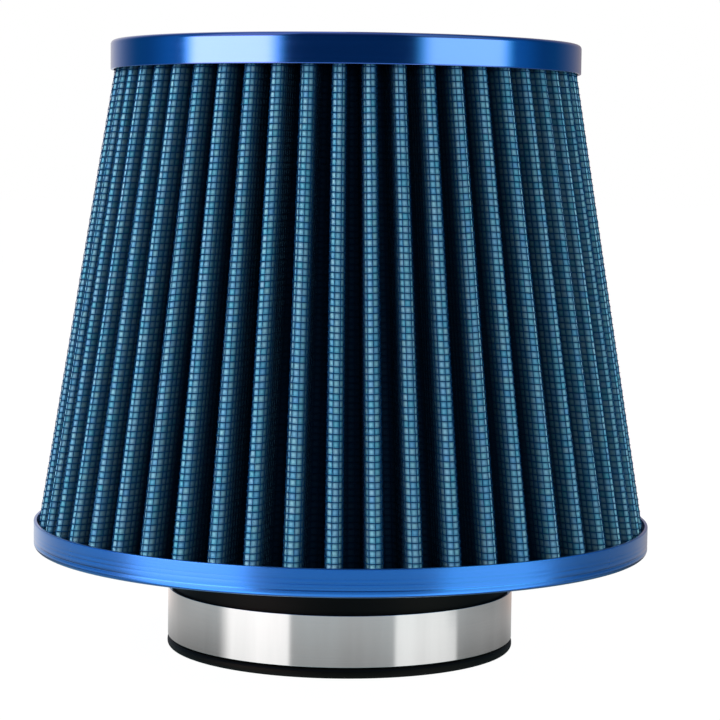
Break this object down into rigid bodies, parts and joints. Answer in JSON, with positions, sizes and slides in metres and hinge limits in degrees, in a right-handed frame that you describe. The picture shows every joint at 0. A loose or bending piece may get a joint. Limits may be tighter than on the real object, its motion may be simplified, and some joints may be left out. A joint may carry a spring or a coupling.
{
  "type": "conical air filter",
  "caption": "Conical clamp-on intake air filter: pleated cotton between wire screens, blue metal cap and pan, rubber neck and worm-drive hose clamp.",
  "frame": {"origin": "centre of the open end of the neck, on the plane of its lip", "axes": "+Z along the filter's axis from the neck to the cap, -Y towards the front, the clamp's screw at the back (+Y)"},
  "size_m": [0.15, 0.15, 0.147],
  "materials": {
    "blue_aluminium": "polished and dyed blue",
    "sealant": "cast polyurethane, matt",
    "screen_wire": "enamelled wire",
    "cotton": "oiled woven cotton",
    "neck_rubber": "moulded, satin",
    "stainless_strip": "bright rolled strip",
    "plated_screw": "zinc plated"
  },
  "bodies": {
    "filter": {"top_cap": "blue_aluminium", "top_sealant": "sealant", "outer_screen": "screen_wire", "cotton_gauze": "cotton", "inner_screen": "screen_wire", "base_pan": "blue_aluminium", "base_sealant": "sealant", "neck_boot": "neck_rubber"},
    "clamp": {"clamp_band": "stainless_strip", "clamp_saddle": "stainless_strip", "clamp_housing": "stainless_strip"},
    "screw": {"clamp_screw": "plated_screw"}
  },
  "joints": [
    {"name": "clamp_turn", "type": "hinge", "parent": "filter", "child": "clamp", "pos_m": [0, 0, 0.0087], "axis": [0, 0, 1], "continuous": true},
    {"name": "screw_turn", "type": "hinge", "parent": "clamp", "child": "screw", "pos_m": [0, 0.04795, 0.0087], "axis": [1, 0, 0], "continuous": true}
  ]
}
